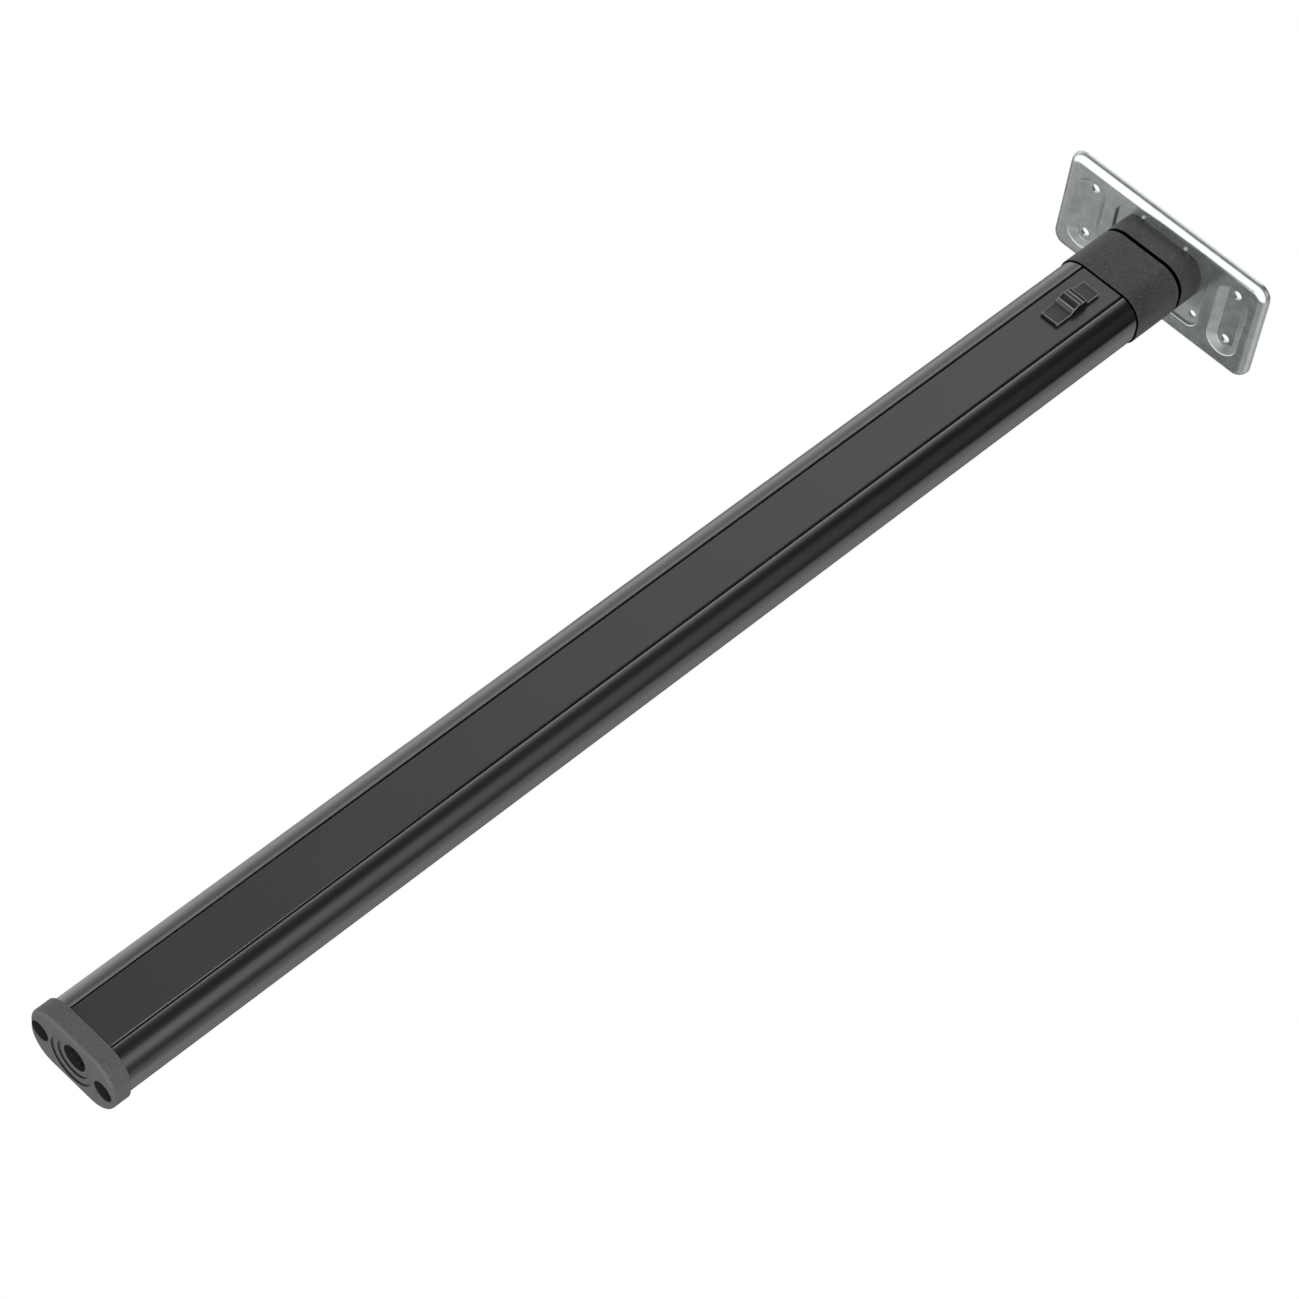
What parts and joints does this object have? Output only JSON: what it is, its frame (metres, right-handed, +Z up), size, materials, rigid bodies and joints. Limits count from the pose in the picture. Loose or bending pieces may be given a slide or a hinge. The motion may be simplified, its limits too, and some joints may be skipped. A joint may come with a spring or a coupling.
{
  "type": "folding table leg",
  "caption": "Folding table leg: a pressed steel mounting plate, a latched hinge worked by a thumb slide, and a flat-oval tube with a cover strip and a moulded foot.",
  "frame": {"origin": "centre of the mounting plate, on the face that meets the table", "axes": "+Z up to the table, the leg hangs down to -Z, its front with the thumb slide faces -Y, width along X"},
  "size_m": [0.127, 0.064, 0.7],
  "materials": {
    "zinc_plate": "zinc plated, satin",
    "steel": "bright steel",
    "screw_steel": "dark zinc",
    "spring_steel": "spring steel",
    "nylon": "natural nylon",
    "grained_moulding": "fine grained charcoal",
    "foot_moulding": "fine grained charcoal",
    "strip_moulding": "satin black, faint grain",
    "slider_moulding": "semi-gloss black",
    "black_anodised": "black anodised, drawn"
  },
  "bodies": {
    "plate": {"mounting_plate": "zinc_plate", "hinge_bracket": "steel", "bracket_rivets": "steel", "pivot_bushes": "nylon", "hinge_head": "grained_moulding", "keeper_bush": "steel", "head_screws": "screw_steel"},
    "leg": {"leg_tube": "black_anodised", "cover_strip": "strip_moulding", "top_collar": "grained_moulding", "hinge_pin": "steel", "collar_screws": "screw_steel", "foot_cap": "foot_moulding", "foot_screws": "screw_steel"},
    "slide": {"release_slider": "slider_moulding", "slide_carrier": "nylon", "carrier_pins": "steel", "latch_bolt": "steel", "friction_spring": "spring_steel"}
  },
  "joints": [
    {"name": "leg_fold", "type": "hinge", "parent": "plate", "child": "leg", "pos_m": [0, 0, -0.02775], "axis": [1, 0, 0], "range_deg": [0, 90]},
    {"name": "latch_slide", "type": "slide", "parent": "leg", "child": "slide", "axis": [0, 0, 1], "range_m": [0, 0.0055]}
  ]
}
